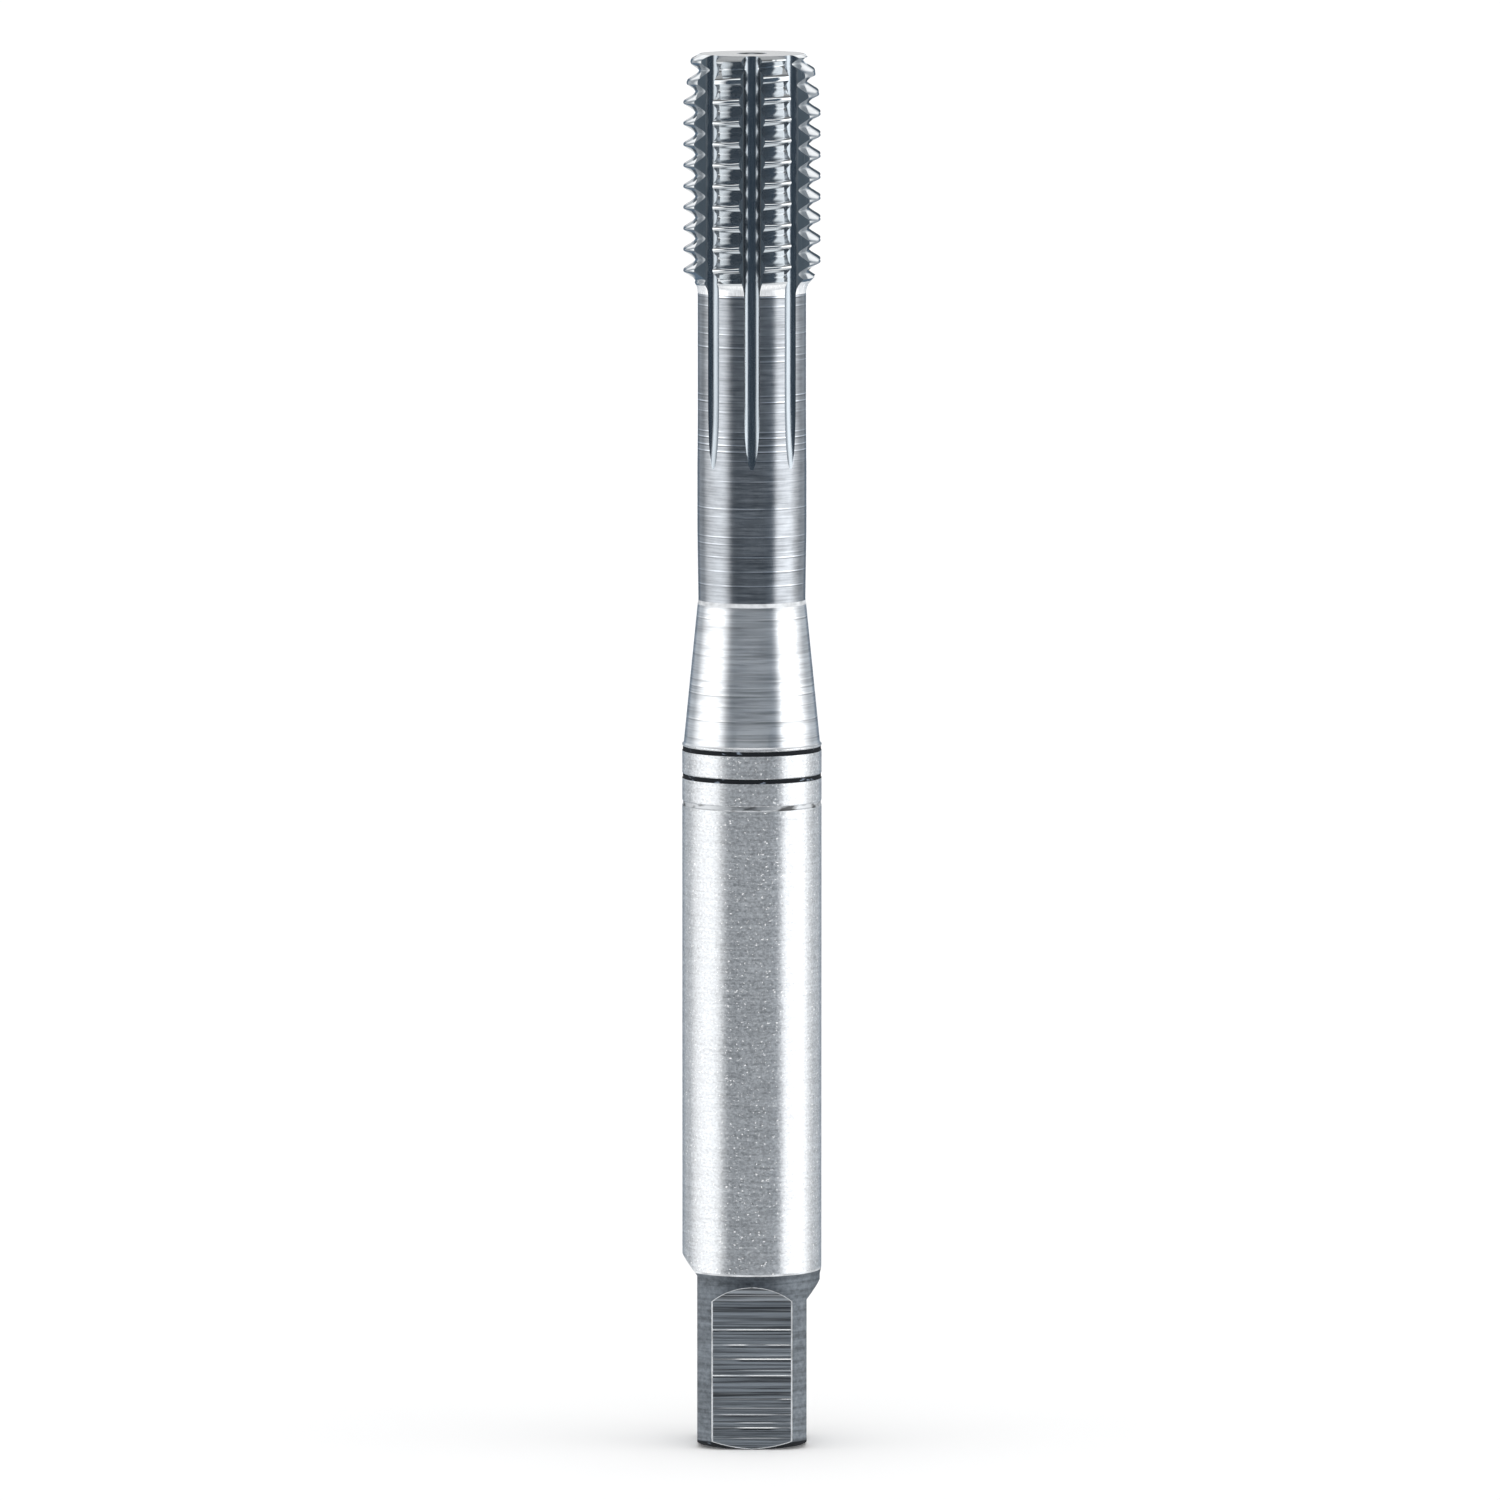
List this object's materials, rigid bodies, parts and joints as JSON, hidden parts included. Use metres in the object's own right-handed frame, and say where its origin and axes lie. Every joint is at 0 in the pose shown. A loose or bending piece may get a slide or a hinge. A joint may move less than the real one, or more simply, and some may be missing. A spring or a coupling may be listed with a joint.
{
  "type": "thread-forming machine tap",
  "caption": "Slender machine tap with a threaded, oil-grooved head, tapered lead, reduced neck, cone, ground cylindrical shank and square drive end.",
  "frame": {"origin": "centre of the square's end face, which the tap stands on", "axes": "+Z along the tap's axis towards the threaded tip, -Y out of the front flat of the square, +X out of its right flat"},
  "size_m": [0.01, 0.01, 0.1],
  "materials": {
    "ground_tool_steel": "bright ground high-speed steel"
  },
  "bodies": {
    "root": {"thread_tap": "ground_tool_steel"}
  },
  "joints": []
}
